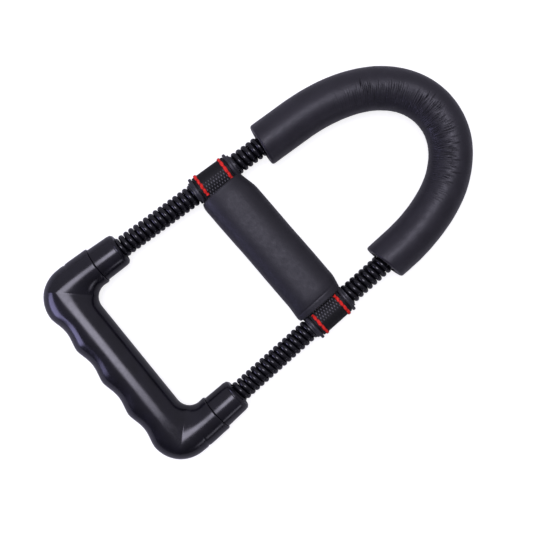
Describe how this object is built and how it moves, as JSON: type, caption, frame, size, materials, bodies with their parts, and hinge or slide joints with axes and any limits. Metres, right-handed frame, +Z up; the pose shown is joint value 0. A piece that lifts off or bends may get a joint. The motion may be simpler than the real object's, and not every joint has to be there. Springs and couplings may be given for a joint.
{
  "type": "hand grip strengthener",
  "caption": "Wrist and forearm exerciser: coil springs join a moulded grip with finger grooves to a foam-covered bent bar, with a sliding foam pad on webbing between them.",
  "frame": {"origin": "on the ground under the middle of the tool's bounding box, with the tool lying flat", "axes": "+X along the handle towards the user's right, +Y from the handle to the closed end of the forearm bar, +Z up out of the plane of the two springs"},
  "size_m": [0.1546, 0.3002, 0.03],
  "materials": {
    "spring_steel": "gloss",
    "bare_steel": "satin",
    "gloss_moulding": "gloss",
    "satin_moulding": "satin",
    "charcoal_foam": "matte",
    "black_webbing": "matte",
    "red_thread": "satin"
  },
  "bodies": {
    "frame": {"forearm_bar": "bare_steel", "forearm_foam_sleeve": "charcoal_foam", "bar_plug_left": "bare_steel", "bar_plug_right": "bare_steel"},
    "springs": {"spring_left": "spring_steel", "spring_right": "spring_steel"},
    "handle": {"handle_core_rod": "bare_steel", "collar_left": "gloss_moulding", "collar_right": "gloss_moulding", "grip_shell_front": "gloss_moulding", "grip_shell_back": "gloss_moulding"},
    "cross_pad": {"pad_foam": "charcoal_foam", "pad_strap": "black_webbing"},
    "slider_left": {"spool_left": "satin_moulding", "webbing_loop_left": "black_webbing", "stitch_row_left_lower": "red_thread", "stitch_row_left_upper": "red_thread"},
    "slider_right": {"spool_right": "satin_moulding", "webbing_loop_right": "black_webbing", "stitch_row_right_lower": "red_thread", "stitch_row_right_upper": "red_thread"}
  },
  "joints": [
    {"name": "upper_bend", "type": "hinge", "parent": "frame", "child": "springs", "pos_m": [0, -0.04782, 0.015], "axis": [1, 0, 0], "range_deg": [-30, 30], "stiffness_Nm_per_rad": 8.7, "deforming": ["spring_left", "spring_right"]},
    {"name": "lower_bend", "type": "hinge", "parent": "springs", "child": "handle", "pos_m": [0, -0.07228, 0.015], "axis": [1, 0, 0], "range_deg": [-30, 30], "stiffness_Nm_per_rad": 8.7, "deforming": ["spring_left", "spring_right"]},
    {"name": "pad_travel", "type": "slide", "parent": "frame", "child": "cross_pad", "axis": [0, 1, 0], "range_m": [-0.012, 0.016]},
    {"name": "slider_left_travel", "type": "slide", "parent": "frame", "child": "slider_left", "axis": [0.0494, 0.9988, 0], "range_m": [-0.0121, 0.0161]},
    {"name": "slider_right_travel", "type": "slide", "parent": "frame", "child": "slider_right", "axis": [-0.0494, 0.9988, 0], "range_m": [-0.0121, 0.0161]}
  ],
  "couplings": [
    {"joint": "lower_bend", "follows": "upper_bend", "ratio": 1},
    {"joint": "slider_left_travel", "follows": "pad_travel", "ratio": 1.0012},
    {"joint": "slider_right_travel", "follows": "pad_travel", "ratio": 1.0012}
  ]
}
